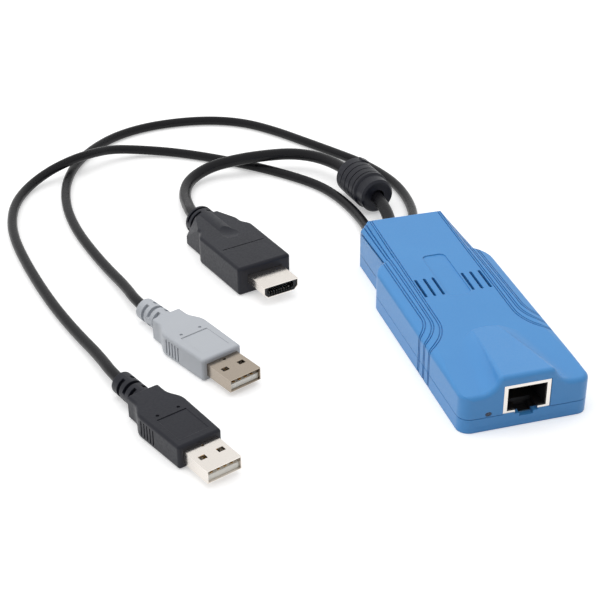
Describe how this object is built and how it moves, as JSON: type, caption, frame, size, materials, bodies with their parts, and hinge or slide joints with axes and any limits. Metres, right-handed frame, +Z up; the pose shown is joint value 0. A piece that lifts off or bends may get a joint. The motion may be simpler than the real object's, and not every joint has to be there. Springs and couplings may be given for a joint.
{
  "type": "kvm dongle",
  "caption": "Network-to-computer console dongle: sloping two-shell case with a network socket in front and captive video and data leads with moulded plugs behind.",
  "frame": {"origin": "middle of the case's flat underside", "axes": "+X to the right seen from above with the socket nearest, +Y from the socket towards the leads, +Z up"},
  "size_m": [0.1606, 0.2583, 0.0185],
  "materials": {
    "blue_case": "moulded, fine satin texture",
    "screw_steel": "plated",
    "clear_lens": "clear moulded light pipe",
    "led_body": "moulded",
    "board_green": "solder resist",
    "chip_black": "moulded",
    "can_nickel": "nickel plated sheet",
    "grey_plug_nickel": "nickel plated sheet",
    "capacitor_tan": "ceramic",
    "header_white": "moulded",
    "wire_red": "wire insulation",
    "contact_gold": "gold plated",
    "bush_black": "moulded",
    "cable_charcoal": "extruded jacket",
    "ferrite_grey": "sintered",
    "grip_charcoal": "moulded, satin",
    "grip_grey": "moulded, satin",
    "tongue_ivory": "moulded",
    "insert_black": "moulded"
  },
  "bodies": {
    "root": {"black_plug_contacts": "contact_gold", "black_plug_grip": "grip_charcoal", "black_plug_shell": "can_nickel", "black_plug_tongue": "tongue_ivory", "board_capacitors": "capacitor_tan", "bottom_cover": "blue_case", "controller_chip": "chip_black", "cover_screws": "screw_steel", "crystal_can": "can_nickel", "data_bush_left": "bush_black", "data_bush_right": "bush_black", "data_cable_left": "cable_charcoal", "data_cable_right": "cable_charcoal", "data_header_left": "header_white", "data_header_right": "header_white", "data_leads_left": "wire_red", "data_leads_right": "wire_red", "ferrite_core": "ferrite_grey", "ferrite_cover": "grip_charcoal", "grey_plug_contacts": "contact_gold", "grey_plug_grip": "grip_grey", "grey_plug_shell": "grey_plug_nickel", "grey_plug_tongue": "tongue_ivory", "jack_contacts": "contact_gold", "jack_housing": "chip_black", "jack_shield": "can_nickel", "main_board": "board_green", "memory_chip": "chip_black", "network_magnetics": "chip_black", "status_led": "led_body", "status_lens": "clear_lens", "top_cover": "blue_case", "video_bush": "bush_black", "video_cable": "cable_charcoal", "video_header": "header_white", "video_leads": "wire_red", "video_plug_contacts": "contact_gold", "video_plug_grip": "grip_charcoal", "video_plug_insert": "insert_black", "video_plug_shell": "can_nickel"}
  },
  "joints": []
}
